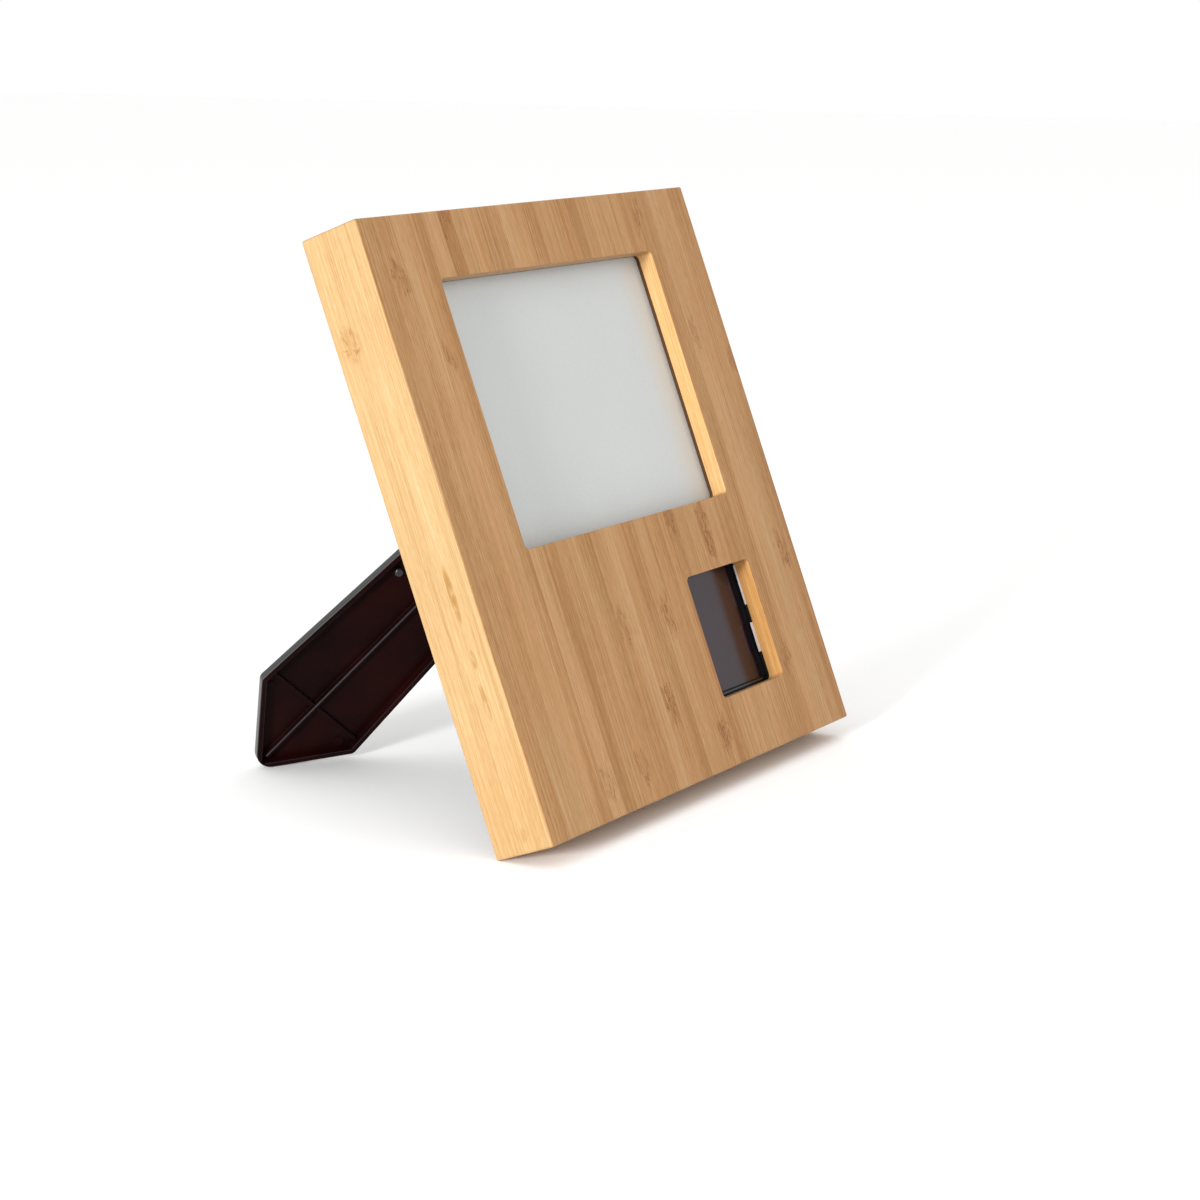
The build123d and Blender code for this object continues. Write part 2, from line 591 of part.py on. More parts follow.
def back_cover():
    low, high = RABBET_BOTTOM + COVER_GAP, RABBET_TOP - COVER_GAP
    half = RABBET_HALF - COVER_GAP
    cover = slab(-half, half, COVER_Y, DEPTH, low, high, 3)
    cover = chamfer(cover.faces().sort_by(Axis.Y)[-1].edges(), 0.4)
    bay = block(
        BAY_LEFT - BAY_WALL, BAY_RIGHT + BAY_WALL, BAY_FLOOR_Y - BAY_WALL, COVER_Y + 0.1,
        BAY_BOTTOM - BAY_WALL, BAY_TOP + BAY_WALL,
    )
    cover = cover + bay
    for x, z in MAIN_SCREW_XZ + BUTTON_SCREW_XZ:
        cover = cover + peg(BOSS_RADIUS, x, z, MAIN_Y + MAIN_THICK, COVER_Y + 0.1)
        cover = cover - peg(BOARD_SCREW[2] + HOLE_SLACK, x, z, MAIN_Y, MAIN_Y + 5.5)
    well = slab(BAY_LEFT, BAY_RIGHT, BAY_FLOOR_Y, DEPTH + 1, BAY_BOTTOM, BAY_TOP, 1.5)
    y = MAIN_Y + MAIN_THICK
    card_mouth = block(BAY_RIGHT - 2, BAY_RIGHT + 2, y + 0.2, y + 2.7, 134.8, 160.2)
    usb_mouth = block(BAY_RIGHT - 2, BAY_RIGHT + 2, y + 0.2, y + 3.7, 166.5, 174.5)
    cover = cut_all(cover, [well, card_mouth, usb_mouth])
    for x in KEY_XS:
        cover = cover - peg(KEY_HOLE, x, KEY_Z, COVER_Y - 1, DEPTH + 1)
    reach = POWER_TRAVEL / 2 + 2.7
    left, right = POWER_X - reach, POWER_X + reach
    cover = cover - slab(left, right, COVER_Y - 1, DEPTH + 1, KEY_Z - 2.2, KEY_Z + 2.2, 0.6)
    for x, z in COVER_SCREW_XZ:
        cover = cover - facing_back(x, DEPTH, z) * countersink(*COVER_SCREW)
    for hanger in HANGERS:
        cover = cover - hanger_outline(*hanger, DEPTH - HANGER_THICK, DEPTH + 1, 0.1)
        cover = cover - keyhole(*hanger, COVER_Y - 1, DEPTH, 0.3)
        for place in hanger_screw_places(*hanger):
            cover = cover - place * peg(HANGER_SCREW[2] + HOLE_SLACK, 0, 0, -3.5, 1)
    for u, v in BRACKET_SCREW_UV:
        cover = cover - on_hinge(u, v) * Cylinder(BRACKET_SCREW[1] + HOLE_SLACK, 24)
    return cover


def cover_screws():
    screw = countersunk_screw(*COVER_SCREW)
    return [facing_back(x, DEPTH, z) * screw for x, z in COVER_SCREW_XZ]


# ---- Hinge: U runs along the pin, V down the folded strut, W out of the back ----
HINGE = Plane(
    origin=(HINGE_SHIFT, DEPTH + PIN_STANDOFF, HEIGHT / 2 + HINGE_SHIFT),
    x_dir=(1, 0, -1),
    z_dir=(0, 1, 0),
).location
STRUT_SWING = HINGE * Rot(STRUT_OPEN, 0, 0)


def on_hinge(u, v, w=0.0):
    return HINGE * Pos(u, v, w)


def hinge_bracket():
    """Base plate with two ears that carry the pin."""
    base_w = -PIN_STANDOFF
    half = BRACKET_HALF
    base = block(-half, half, -BRACKET_REACH, EAR_RADIUS, base_w, base_w + BRACKET_THICK)
    base = fillet(base.edges().filter_by(Axis.Z).sort_by(Axis.Y)[:2], 4)
    for side in (-1, 1):
        near, far = sorted((side * EAR_START, side * EAR_END))
        ear = block(near, far, -EAR_RADIUS, EAR_RADIUS, base_w, 0)
        ear = ear + Pos((near + far) / 2, 0, 0) * Rot(0, 90, 0) * Cylinder(EAR_RADIUS, far - near)
        foot = block(near, far, -9, 0, base_w, -1.8)
        foot = chamfer(foot.edges().filter_by(Axis.X).sort_by(Axis.Y)[:2].sort_by(Axis.Z)[-1:], 1.4)
        base = base + ear + foot
    base = base - Rot(0, 90, 0) * Cylinder(PIN_RADIUS, 60)
    for u, v in BRACKET_SCREW_UV:
        base = base - Pos(u, v, base_w + BRACKET_THICK) * countersink(*BRACKET_SCREW)
    return HINGE * base


def hinge_backing():
    """Steel plate inside the cover that the bracket's screws thread into."""
    top_w = -PIN_STANDOFF - COVER
    plate = block(-BRACKET_HALF, BRACKET_HALF, -BRACKET_REACH, EAR_RADIUS, top_w - BRACKET_THICK, top_w)
    for u, v in BRACKET_SCREW_UV:
        plate = plate - Pos(u, v, top_w) * Cylinder(BRACKET_SCREW[1] + HOLE_SLACK, 6)
    return HINGE * plate


def hinge_screws():
    screw = countersunk_screw(*BRACKET_SCREW)
    top_w = -PIN_STANDOFF + BRACKET_THICK
    return [on_hinge(u, v, top_w) * screw for u, v in BRACKET_SCREW_UV]


def hinge_pin():
    """Steel pin with a flat head at one end."""
    shank = Rot(0, 90, 0) * Cylinder(PIN_RADIUS, 2 * EAR_END + 0.8)
    head = Pos(-EAR_END - 0.5, 0, 0) * Rot(0, 90, 0) * Cylinder(2.3, 1.0)
    return HINGE * (shank + head)


def strut_outline():
    half_start = STRUT_NARROW / 2
    half = STRUT_WIDE / 2
    line = Polyline(
        (-half_start, STRUT_START), (half_start, STRUT_START), (half, STRUT_SHOULDER), (0, STRUT_LENGTH),
        (-half, STRUT_SHOULDER), (-half_start, STRUT_START),
    )
    return make_face(line)


def strut_tray():
    """Shallow moulded tray with a pointed end, hollow on the side that folds against the back."""
    outline = strut_outline()
    tray = Pos(0, 0, STRUT_RIM) * extrude(outline, STRUT_THICK)
    upright = tray.edges().filter_by(Axis.Z).sort_by(Axis.Y)
    tray = fillet(upright[-1:], STRUT_TIP_ROUND)
    upright = tray.edges().filter_by(Axis.Z).sort_by(Axis.Y)
    shoulders = [e for e in upright if abs(e.center().Y - STRUT_SHOULDER) < 1]
    tray = fillet(shoulders, STRUT_SHOULDER_ROUND)
    start_corners = tray.edges().filter_by(Axis.Z).sort_by(Axis.Y)[:2]
    tray = fillet(start_corners, 3)
    tray = fillet(tray.faces().sort_by(Axis.Z)[-1].edges(), 2.5)
    inside = offset(outline, -STRUT_WALL, kind=Kind.INTERSECTION)
    hollow = extrude(inside, STRUT_THICK - STRUT_SKIN + 1)
    tray = tray - Pos(0, 0, STRUT_RIM - 1) * fillet(hollow.edges().filter_by(Axis.Z), 1.2)
    return fillet(tray.faces().sort_by(Axis.Z)[0].edges(), STRUT_RIM_ROUND)


def strut_stud(u, v, floor):
    """Round stud on the tray's floor, with a rounded top."""
    stud = Cylinder(STUD_RADIUS, STUD_HIGH)
    stud = fillet(stud.edges().sort_by(Axis.Z)[0], 0.5)
    return Pos(u, v, floor - STUD_HIGH / 2) * stud


def strut_ribs():
    """One rib along the middle, one across where the point begins, ejector marks and two studs."""
    low, high = STRUT_RIM + RIB_SET_BACK, STRUT_RIM + STRUT_THICK - STRUT_SKIN + 0.2
    half = RIB_WIDE / 2
    along = block(-half, half, STRUT_START + 1, STRUT_LENGTH - 6, low, high)
    reach = STRUT_WIDE / 2 - 1.2
    across = block(-reach, reach, CROSS_RIB_V - half, CROSS_RIB_V + half, low + 0.6, high)
    marks = [Pos(u, v, high - 0.45) * Cylinder(EJECTOR_RADIUS, 0.5) for u, v in EJECTOR_UV]
    studs = [strut_stud(u, v, high) for u, v in STUD_UV]
    return [along, across] + marks + studs


def strut():
    body = strut_tray()
    for rib in strut_ribs():
        body = body + rib
    barrel = Rot(0, 90, 0) * Cylinder(BARREL_RADIUS, 2 * BARREL_HALF)
    top = STRUT_RIM + STRUT_THICK
    neck = block(-BARREL_HALF, BARREL_HALF, 0, STRUT_START + 1.5, top - STRUT_SKIN, top)
    heel = block(-10, 10, -HEEL, 0, top - STRUT_SKIN, top)
    body = body + barrel + neck + heel
    body = body - Rot(0, 90, 0) * Cylinder(PIN_RADIUS + PIN_CLEARANCE, 60)
    return STRUT_SWING * body


# ---- Assembly ----
def pieces():
    """Every node's solids, in the block's axes."""
    nodes = {
        "bamboo_frame": [bamboo_frame()],
        "screen_gasket": [screen_gasket()],
        "picture_screen": [picture_screen()],
        "light_guide": [light_guide()],
        "screen_tray": [screen_tray()],
        "screen_clips": screen_clips(),
        "clip_screws": clip_screws(),
        "screen_cable": [screen_cable()],
        "screen_connector": [screen_connector()],
        "status_metal_frame": [status_metal_frame()],
        "status_bezel": [status_bezel()],
        "status_glass": [status_glass()],
        "status_diffuser": [status_diffuser()],
        "status_board": [status_board()],
        "status_driver": status_driver(),
        "status_screws": status_screws(),
        "status_cable": [status_cable()],
        "main_board": [main_board()],
        "main_chips": main_chips(),
        "card_socket": [card_socket()],
        "usb_socket": [usb_socket()],
        "board_screws": board_screws(),
        "battery_pack": [battery_pack()],
        "battery_tape": [battery_tape()],
        "battery_wires": battery_wires(),
        "battery_connector": [battery_connector()],
        "button_board": [button_board()],
        "button_cable": [button_cable()],
        "tact_switches": tact_switches(),
        "power_housing": [power_housing()],
        "power_lever": [power_lever()],
        "power_knob": [power_knob()],
        "back_cover": [back_cover()],
        "cover_screws": cover_screws(),
        "hanger_plates": hanger_plates(),
        "hanger_screws": hanger_screws(),
        "hinge_bracket": [hinge_bracket()],
        "hinge_backing": [hinge_backing()],
        "hinge_screws": hinge_screws(),
        "hinge_pin": [hinge_pin()],
        "strut": [strut()],
    }
    for name, x in zip(KEY_NAMES, KEY_XS):
        nodes["key_" + name] = [key_cap(x)]
        nodes["plunger_" + name] = [plunger(x)]
    return nodes


def stance(nodes):
    """Leans the assembly back and puts the middle of its footprint at the origin, on the surface."""
    lean = Rot(-LEAN, 0, 0) * Pos(0, -DEPTH, 0)
    corners = [(lean * solid).bounding_box() for name in ("bamboo_frame", "strut") for solid in nodes[name]]
    low = [min(tuple(box.min)[axis] for box in corners) for axis in range(3)]
    high = [max(tuple(box.max)[axis] for box in corners) for axis in range(3)]
    print("lowest points", [round(box.min.Z, 3) for box in corners])
    return Pos(-(low[0] + high[0]) / 2, -(low[1] + high[1]) / 2, -low[2]) * lean


NODES = pieces()
STANCE = stance(NODES)

if __name__ == "__main__":
    os.makedirs("parts", exist_ok=True)
    for name, solids in NODES.items():
        placed = [STANCE * solid for solid in solids]
        shape = placed[0] if len(placed) == 1 else Compound(children=placed)
        export_step(shape, "parts/" + name + ".step")
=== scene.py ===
import json
import math
from collections import namedtuple

import bmesh
import bpy
from mathutils import Euler, Matrix, Vector


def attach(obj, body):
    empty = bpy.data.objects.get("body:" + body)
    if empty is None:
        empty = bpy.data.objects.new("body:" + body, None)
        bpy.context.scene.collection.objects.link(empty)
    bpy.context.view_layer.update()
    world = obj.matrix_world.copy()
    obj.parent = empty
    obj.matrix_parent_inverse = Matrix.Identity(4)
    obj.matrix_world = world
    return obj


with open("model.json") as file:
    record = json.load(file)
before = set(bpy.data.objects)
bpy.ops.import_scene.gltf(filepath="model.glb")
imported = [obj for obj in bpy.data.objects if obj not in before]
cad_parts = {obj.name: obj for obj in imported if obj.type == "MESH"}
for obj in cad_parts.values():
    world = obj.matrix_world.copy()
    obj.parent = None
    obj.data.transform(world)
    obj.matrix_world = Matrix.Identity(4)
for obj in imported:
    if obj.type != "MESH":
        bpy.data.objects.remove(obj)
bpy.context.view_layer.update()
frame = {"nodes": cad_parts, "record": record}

MM = 0.001
NODES = frame["nodes"]
MOUNTS = {mount["name"]: mount for mount in frame["record"]["mounts"]}


# ---- The block's own axes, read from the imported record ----
# The foot face is the middle of the block's bottom face. It points down out of the block.
FOOT = MOUNTS["landscape_foot_face"]
UP = -Vector(FOOT["axis"]).normalized()
ACROSS = Vector((1, 0, 0))
BACK = UP.cross(ACROSS).normalized()
LEAN = math.atan2(UP.y, UP.z)
HALF_WIDTH = 0.100
HALF_DEPTH = 0.0115
FRONT_FOOT = Vector(FOOT["pos_m"]) - BACK * HALF_DEPTH

# The floor of the strut's tray faces along STRUT_FLOOR when the strut is open.
HINGE = frame["record"]["behaviour"]["joints"][0]
STRUT_SWING = Matrix.Rotation(-math.radians(HINGE["range_deg"][1]), 3, Vector(HINGE["axis"]))
STRUT_FLOOR = STRUT_SWING @ -BACK


# ---- Camera ----
# How the camera is turned, and where it stands in metres from the block's rear left foot corner.
YAW = math.radians(57.70)
PITCH = math.radians(11.86)
ROLL = math.radians(0.2)
REAR_CORNER = Vector(FOOT["pos_m"]) + BACK * HALF_DEPTH - ACROSS * HALF_WIDTH
CAMERA_FROM_CORNER = Vector((-0.7056, -0.4846, 0.2648))
LENS = 84.14


def add_camera():
    data = bpy.data.cameras.new("camera")
    data.lens = LENS
    data.sensor_width = 36.0
    data.clip_start = 0.05
    camera = bpy.data.objects.new("camera", data)
    bpy.context.scene.collection.objects.link(camera)
    turn = Matrix.Rotation(-YAW, 4, "Z")
    tilt = Matrix.Rotation(math.pi / 2 - PITCH, 4, "X")
    roll = Matrix.Rotation(ROLL, 4, "Z")
    camera.matrix_world = Matrix.Translation(REAR_CORNER + CAMERA_FROM_CORNER) @ turn @ tilt @ roll
    bpy.context.scene.camera = camera


# ---- Light ----
def add_world():
    world = bpy.data.worlds.new("studio")
    bpy.context.scene.world = world
    world.use_nodes = True
    background = world.node_tree.nodes["Background"]
    background.inputs["Color"].default_value = (1, 1, 1, 1)
    background.inputs["Strength"].default_value = 1.0


def add_softbox(name, direction, distance, size, watts):
    """A square light that faces the object from that direction."""
    data = bpy.data.lights.new(name, "AREA")
    data.shape = "SQUARE"
    data.size = size
    data.energy = watts
    light = bpy.data.objects.new(name, data)
    bpy.context.scene.collection.objects.link(light)
    target = Vector((0, 0, 0.1))
    light.location = target + Vector(direction).normalized() * distance
    light.rotation_euler = (target - light.location).to_track_quat("-Z", "Y").to_euler()


# ---- Node graphs ----
class Graph:
    """A material and short names for the nodes it is built from."""

    def __init__(self, name, **sockets):
        self.material = bpy.data.materials.new(name)
        self.material.use_nodes = True
        self.tree = self.material.node_tree
        self.shader = self.tree.nodes["Principled BSDF"]
        for socket, value in sockets.items():
            self.shader.inputs[socket.replace("_", " ")].default_value = value
        self.object_coords = self.tree.nodes.new("ShaderNodeTexCoord").outputs["Object"]

    def link(self, value, socket):
        """Joins an output, or sets a plain value."""
        if isinstance(value, bpy.types.NodeSocket):
            self.tree.links.new(value, socket)
        else:
            socket.default_value = value

    def mapped(self, scale, rotation=(0, 0, 0), location=(0, 0, 0), source=None):
        """The object's coordinates, or the source's, scaled, turned and moved."""
        node = self.tree.nodes.new("ShaderNodeMapping")
        self.link(source or self.object_coords, node.inputs["Vector"])
        node.inputs["Scale"].default_value = scale
        node.inputs["Rotation"].default_value = rotation
        node.inputs["Location"].default_value = location
        return node.outputs["Vector"]

    def millimetres(self, stretch=(1, 1, 1)):
        """The object's coordinates in mm, multiplied by the stretch."""
        return self.mapped([1000 * s for s in stretch])

    def block_axes(self):
        """Coordinates in the block's own axes, in mm."""
        turn = Euler((LEAN, 0, 0)).to_matrix()
        shift = -(turn @ FRONT_FOOT) / MM
        return self.mapped((1000, 1000, 1000), (LEAN, 0, 0), shift)

    def split(self, vector):
        node = self.tree.nodes.new("ShaderNodeSeparateXYZ")
        self.link(vector, node.inputs[0])
        return node.outputs[0], node.outputs[1], node.outputs[2]

    def join(self, x, y, z):
        node = self.tree.nodes.new("ShaderNodeCombineXYZ")
        for value, socket in zip((x, y, z), node.inputs):
            self.link(value, socket)
        return node.outputs[0]

    def math(self, operation, a, b=0.0, clamp=False):
        node = self.tree.nodes.new("ShaderNodeMath")
        node.operation = operation
        node.use_clamp = clamp
        self.link(a, node.inputs[0])
        self.link(b, node.inputs[1])
        return node.outputs[0]

    def span(self, value, low, high, to_low=0.0, to_high=1.0, smooth=False):
        """value, taken from low..high to to_low..to_high."""
        node = self.tree.nodes.new("ShaderNodeMapRange")
        node.interpolation_type = "SMOOTHSTEP" if smooth else "LINEAR"
        for item, socket in zip((value, low, high, to_low, to_high), node.inputs):
            self.link(item, socket)
        return node.outputs[0]

    def spread(self, noise, low=0.0, high=1.0):
        """A noise, with the part of its range that it mostly keeps to taken to low..high."""
        return self.span(noise, 0.3, 0.7, low, high)

    def noise(self, vector, scale=1.0, detail=2.0, roughness=0.5, distortion=0.0):
        node = self.tree.nodes.new("ShaderNodeTexNoise")
        self.link(vector, node.inputs["Vector"])
        node.inputs["Scale"].default_value = scale
        node.inputs["Detail"].default_value = detail
        node.inputs["Roughness"].default_value = roughness
        node.inputs["Distortion"].default_value = distortion
        return node.outputs["Fac"]

    def stretched(self, vector, scales, detail=1.0, roughness=0.5, distortion=0.0):
        """Noise with its own scale along each axis."""
        return self.noise(self.mapped(scales, source=vector), 1.0, detail, roughness, distortion)

    def cells(self, vector, scale, feature="F1", randomness=1.0, output="Distance"):
        """Voronoi cells, as many to a unit as the scale says."""
        node = self.tree.nodes.new("ShaderNodeTexVoronoi")
        node.feature = feature
        self.link(vector, node.inputs["Vector"])
        node.inputs["Scale"].default_value = scale
        node.inputs["Randomness"].default_value = randomness
        return node.outputs[output]

    def ramp(self, value, stops, interpolation="LINEAR"):
        """The colour at value, from stops of a position and a colour."""
        node = self.tree.nodes.new("ShaderNodeValToRGB")
        node.color_ramp.interpolation = interpolation
        elements = node.color_ramp.elements
        while len(elements) > 1:
            elements.remove(elements[-1])
        elements[0].position, elements[0].color = stops[0][0], (*stops[0][1], 1)
        for position, colour in stops[1:]:
            elements.new(position).color = (*colour, 1)
        self.link(value, node.inputs[0])
        return node.outputs["Color"]

    def mix(self, amount, a, b, blend="MIX"):
        """Colour b over colour a by that amount. Either may be an output or three plain values."""
        node = self.tree.nodes.new("ShaderNodeMix")
        node.data_type = "RGBA"
        node.blend_type = blend
        self.link(amount, node.inputs[0])
        self.link(a if isinstance(a, bpy.types.NodeSocket) else (*a, 1), node.inputs[6])
        self.link(b if isinstance(b, bpy.types.NodeSocket) else (*b, 1), node.inputs[7])
        return node.outputs[2]

    def bump(self, height, depth_mm, strength=1.0):
        """Fine relief of that depth."""
        node = self.tree.nodes.new("ShaderNodeBump")
        node.inputs["Strength"].default_value = strength
        node.inputs["Distance"].default_value = depth_mm * MM
        self.link(height, node.inputs["Height"])
        self.link(node.outputs[0], self.shader.inputs["Normal"])

    def ellipse(self, u, v, middle_u, middle_v, half_u, half_v):
        """1 in the middle of an ellipse, falling to 0 at its edge."""
        du = self.math("DIVIDE", self.math("SUBTRACT", u, middle_u), half_u)
        dv = self.math("DIVIDE", self.math("SUBTRACT", v, middle_v), half_v)
        squares = [self.math("MULTIPLY", part, part) for part in (du, dv)]
        radius = self.math("SQRT", self.math("ADD", *squares))
        return self.span(radius, 0.55, 1.0, 1.0, 0.0, smooth=True)

    def along(self, origin, direction):
        """Distance from the origin in that direction, in mm."""
        offset = self.tree.nodes.new("ShaderNodeVectorMath")
        offset.operation = "SUBTRACT"
        self.link(self.object_coords, offset.inputs[0])
        offset.inputs[1].default_value = origin
        node = self.tree.nodes.new("ShaderNodeVectorMath")
        node.operation = "DOT_PRODUCT"
        self.link(offset.outputs[0], node.inputs[0])
        node.inputs[1].default_value = direction
        return self.math("DIVIDE", node.outputs["Value"], MM)

    def colour(self, value):
        self.link(value, self.shader.inputs["Base Color"])

    def roughness(self, value):
        self.link(value, self.shader.inputs["Roughness"])

    def towards(self, direction):
        """1 where the surface faces that way, and -1 where it faces the other way."""
        coords = self.tree.nodes.new("ShaderNodeTexCoord")
        node = self.tree.nodes.new("ShaderNodeVectorMath")
        node.operation = "DOT_PRODUCT"
        self.link(coords.outputs["Normal"], node.inputs[0])
        node.inputs[1].default_value = direction
        return node.outputs["Value"]

    def facing(self, direction):
        """How squarely the surface faces along that direction, 0 to 1."""
        return self.math("ABSOLUTE", self.towards(direction))


# ---- Bamboo: slats glued side by side, each with its own look and its own culm node ----
# right: the slat's right edge, mm across. tone: 0 dark to 1 pale. slope: how the tone changes from
# left to right. warmth: 0 to 1. node_height: mm up to its culm node, below the block where it has
# none. node_strength: how plainly the node shows.
Slat = namedtuple("Slat", "right tone slope warmth node_height node_strength")
SLATS = [Slat(*values) for values in (
    (-91.5, 0.46, -0.3, 0.3, -20, 0.0), (-81.5, 0.52, 0.3, 0.3, 186, 1.0),
    (-76.5, 0.60, 0.2, 0.2, -20, 0.0), (-70.5, 0.58, -0.2, 0.2, 158, 0.9),
    (-64.0, 0.46, -0.8, 0.3, -20, 0.0), (-56.5, 0.60, 0.1, 0.2, 12, 0.8),
    (-49.5, 0.40, 0.2, 0.8, 204, 0.7), (-42.0, 0.53, -0.6, 0.2, -20, 0.0),
    (-36.0, 0.56, 0.3, 0.4, 13, 1.0), (-28.0, 0.47, -0.7, 0.3, 120, 0.6),
    (-21.5, 0.52, 0.3, 0.3, 59, 1.0), (-15.5, 0.64, 0.2, 0.2, -20, 0.0),
    (-8.5, 0.56, -0.2, 0.3, 28, 1.2), (0.0, 0.44, -0.3, 0.3, 140, 0.5),
    (6.0, 0.57, 0.2, 0.3, 58, 1.1), (11.5, 0.52, -0.3, 0.3, -20, 0.0),
    (19.0, 0.50, 0.2, 0.5, 11, 1.5), (26.0, 0.40, -0.3, 0.4, 86, 0.9),
    (33.0, 0.50, 0.2, 0.3, -20, 0.0), (40.0, 0.57, -0.2, 0.3, 110, 0.6),
    (47.0, 0.52, 0.3, 0.5, 82, 2.0), (53.5, 0.57, 0.3, 0.3, -20, 0.0),
    (60.0, 0.48, -0.4, 0.3, 160, 0.6), (66.5, 0.47, 0.2, 0.6, 197, 0.9),
    (73.5, 0.46, 0.2, 0.4, 29, 0.9), (80.0, 0.60, 0.2, 0.2, 150, 0.8),
    (88.0, 0.58, -0.3, 0.2, -20, 0.0), (94.0, 0.50, 0.3, 0.3, 66, 1.1),
    (100.5, 0.46, -0.2, 0.4, 139, 0.8),
)]
# The ramps over the slats run from this far left of the block's middle to this far right, in mm.
SLATS_REACH = 101.0
# The heights in mm that a ramp's 0 and 1 stand for.
NODE_LOWEST, NODE_HIGHEST = -30.0, 210.0
# Just inside the outer faces at the block's two sides, mm from the middle.
OUTER_FACE = 99.0
# The small window lies below this height and the large one above it, in mm.
BETWEEN_WINDOWS = 80.0
# The wood's colour, from dark to pale.
WOOD_TONES = [
    (0.0, (0.290, 0.129, 0.035)), (0.5, (0.394, 0.206, 0.079)), (1.0, (0.476, 0.276, 0.133)),
]

# Marks on the left-hand outer face: middle in mm behind the front and up, half sizes, strength.
SIDE_STAINS = [
    (8.0, 137.0, 1.4, 13.0, 0.45), (8.0, 85.0, 1.7, 12.0, 0.95), (7.6, 63.5, 1.3, 4.0, 0.7),
    (8.2, 49.5, 1.5, 7.5, 0.7), (10.0, 6.0, 2.5, 3.0, 0.4),
]
SIDE_NODE = (16.5, 170.0, 4.5, 8.0, 0.6)


class Bamboo(Graph):
    """The block's wood, with one layer of colour laid over another."""

    def __init__(self):
        super().__init__("bamboo_laminate", Specular_IOR_Level=0.30)
        self.mm = self.block_axes()
        self.x, self.y, self.z = self.split(self.mm)
        # Faces that face across: the wood is painted lighter on them further down, as painted side light.
        self.faces_across = self.span(self.facing(ACROSS), 0.5, 0.9)
        self.outer_face = self.math("GREATER_THAN", self.math("ABSOLUTE", self.x), OUTER_FACE)
        self.left_face = self.math("LESS_THAN", self.x, -OUTER_FACE)
        self.tone, self.slope, self.warmth = self.by_slat(
            lambda slat, middle: (slat.tone, (slat.slope + 1) / 2, slat.warmth)
        )
        self.node_height, self.node_strength, self.middle = self.by_slat(
            lambda slat, middle: (
                (slat.node_height - NODE_LOWEST) / (NODE_HIGHEST - NODE_LOWEST),
                slat.node_strength / 2,
                (middle + SLATS_REACH) / (2 * SLATS_REACH),
            )
        )
        # How far right of its slat's middle a point is, in mm.
        middle_mm = self.span(self.middle, 0, 1, -SLATS_REACH, SLATS_REACH)
        self.offset = self.math("SUBTRACT", self.x, middle_mm)

    def by_slat(self, values):
        """Three values from 0 to 1 that hold over the whole width of a slat."""
        stops, left = [], -SLATS_REACH
        for slat in SLATS:
            start = (left + SLATS_REACH) / (2 * SLATS_REACH)
            stops.append((start, values(slat, (left + slat.right) / 2)))
            left = slat.right
        across = self.span(self.x, -SLATS_REACH, SLATS_REACH)
        return self.split(self.ramp(across, stops, "CONSTANT"))

    def cast(self, amount, tint):
        """Lays a tint over the wood by that amount."""
        tinted = self.mix(1.0, self.base, tint, "MULTIPLY")
        self.base = self.mix(amount, self.base, tinted)

    def add_fibres(self):
        """Fibres run up the slat. Every slat has its own."""
        seed = self.math("MULTIPLY", self.middle, 970.0)
        up = self.math("ADD", self.math("MULTIPLY", self.z, 0.01), seed)
        grain = self.join(self.x, self.math("MULTIPLY", self.y, 0.8), up)
        self.fine = self.stretched(grain, (1.9, 1.9, 1.6), roughness=0.6)
        self.fibre = self.stretched(grain, (0.75, 0.75, 0.9))
        broad = self.stretched(grain, (0.22, 0.22, 0.6), detail=0.0)
        dashes = self.stretched(self.mm, (2.6, 2.2, 0.22), roughness=0.7)
        cloud = self.stretched(self.mm, (0.04, 0.04, 0.02))
        streaks = self.spread(cloud, -0.08, 0.08)
        for part, weight in ((self.fine, 0.56), (self.fibre, 0.26), (broad, 0.16), (dashes, 0.38)):
            streaks = self.math("ADD", streaks, self.spread(part, -weight / 2, weight / 2))
        streaks = self.math("MULTIPLY", streaks, self.span(self.faces_across, 0, 1, 1.0, 0.55))
        slope = self.math("SUBTRACT", self.slope, 0.5)
        sloped = self.math("MULTIPLY", slope, self.math("MULTIPLY", self.offset, 0.055))
        value = self.math("ADD", self.span(self.tone, 0.4, 0.65, 0.25, 0.79), sloped)
        self.base = self.ramp(self.math("ADD", value, streaks), WOOD_TONES)

    def add_warmth(self):
        """Slats differ in warmth, and it drifts slowly along each of them."""
        self.cast(self.span(self.warmth, 0.2, 1.0, 0.0, 0.5), (1.0, 0.90, 0.76))
        slow_x, slow_z = self.math("MULTIPLY", self.x, 0.03), self.math("MULTIPLY", self.z, 0.014)
        drift = self.noise(self.join(self.math("MULTIPLY", self.middle, 60.0), slow_x, slow_z), 1.0, 2.0)
        tint = self.mix(self.span(drift, 0.34, 0.66), (1.00, 1.03, 1.02), (1.01, 0.96, 0.87))
        self.base = self.mix(1.0, self.base, tint, "MULTIPLY")

    def paint_fibre_glints(self):
        """Thin streaks along a few fibres are painted lighter and whiter, as painted highlights on the
        lacquer.
        """
        fibre_glints = self.stretched(self.mm, (2.4, 2.0, 0.035))
        self.cast(self.span(fibre_glints, 0.57, 0.68, 0.0, 0.8), (1.10, 1.17, 1.25))

    def paint_light_across(self):
        """Faces that face across are painted paler and yellower as painted light: most on the large window's
        walls, less on the small window's walls, which are painted as partly in shade, and least on the
        block's outer faces.
        """
        inside = self.math("LESS_THAN", self.math("ABSOLUTE", self.x), OUTER_FACE)
        low_window = self.math("MULTIPLY", self.math("LESS_THAN", self.z, BETWEEN_WINDOWS), inside)
        # Painted light: how much lighter each kind of across face is painted, as if lit from the side.
        pale = self.mix(low_window, (1.52, 1.79, 2.08), (1.27, 1.28, 1.12))
        pale = self.mix(self.outer_face, pale, (1.08, 1.31, 1.57))
        self.cast(self.faces_across, pale)

